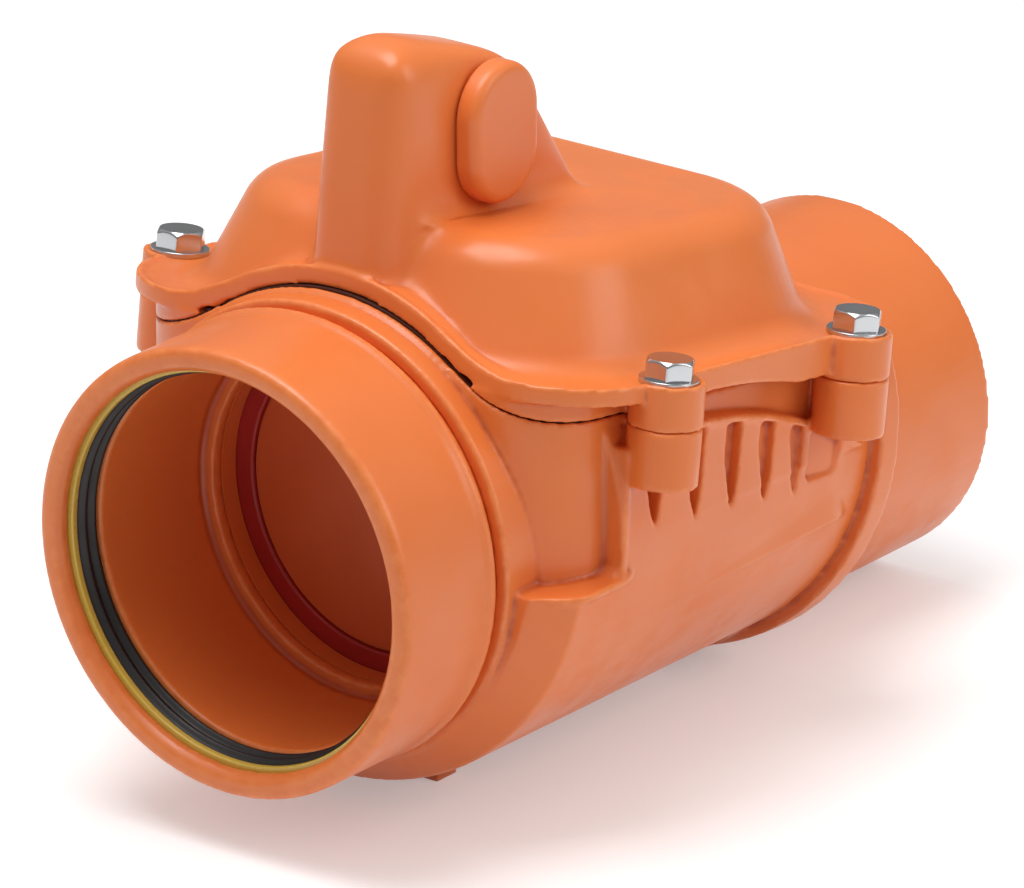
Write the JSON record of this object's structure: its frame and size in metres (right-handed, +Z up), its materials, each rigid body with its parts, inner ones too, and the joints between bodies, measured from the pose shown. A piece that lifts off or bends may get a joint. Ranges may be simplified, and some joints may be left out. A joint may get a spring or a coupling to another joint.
{
  "type": "backwater valve",
  "caption": "Drain backwater valve: socket inlet, hinged sealing flap in a ribbed chamber, bolted domed cover with a hand lock knob on its tower, and a lower spigot outlet.",
  "frame": {"origin": "centre of the bounding box in X and Y, on the floor under the feet", "axes": "+X with the flow from socket to spigot, +Z up, +Y to the left when looking with the flow"},
  "size_m": [0.291, 0.194, 0.2201],
  "materials": {
    "body_plastic": "moulded polymer, satin",
    "cover_plastic": "moulded polymer, satin",
    "flap_plastic": "moulded polymer, satin",
    "arm_plastic": "moulded black polymer",
    "seal_rubber": "smooth black rubber",
    "flap_rubber": "smooth red rubber",
    "retainer_plastic": "yellow moulded ring",
    "bolt_steel": "bright zinc plated steel",
    "shaft_steel": "stainless steel",
    "insert_brass": "turned brass"
  },
  "bodies": {
    "housing": {"valve_body": "body_plastic", "inlet_socket": "body_plastic", "valve_seat": "body_plastic", "cover": "cover_plastic", "socket_seal": "seal_rubber", "seal_retainer": "retainer_plastic", "cover_gasket": "seal_rubber", "cover_bolts": "bolt_steel", "cover_washers": "bolt_steel", "cover_inserts": "insert_brass", "hinge_pins": "shaft_steel"},
    "flap": {"flap_disc": "flap_plastic", "flap_seal": "flap_rubber", "flap_clamp_plate": "flap_plastic", "flap_screws": "bolt_steel"},
    "lock": {"lock_shaft": "shaft_steel", "lock_arm": "arm_plastic", "arm_pin": "shaft_steel", "lock_knob": "cover_plastic", "shaft_seal": "seal_rubber", "shaft_clip": "shaft_steel"}
  },
  "joints": [
    {"name": "flap_swing", "type": "hinge", "parent": "housing", "child": "flap", "pos_m": [-0.0685, 0, 0.152], "axis": [0, -1, 0], "range_deg": [0, 65]},
    {"name": "lock_turn", "type": "hinge", "parent": "housing", "child": "lock", "pos_m": [-0.04459, 0, 0.18839], "axis": [0, 1, 0], "range_deg": [0, 61.4]}
  ]
}
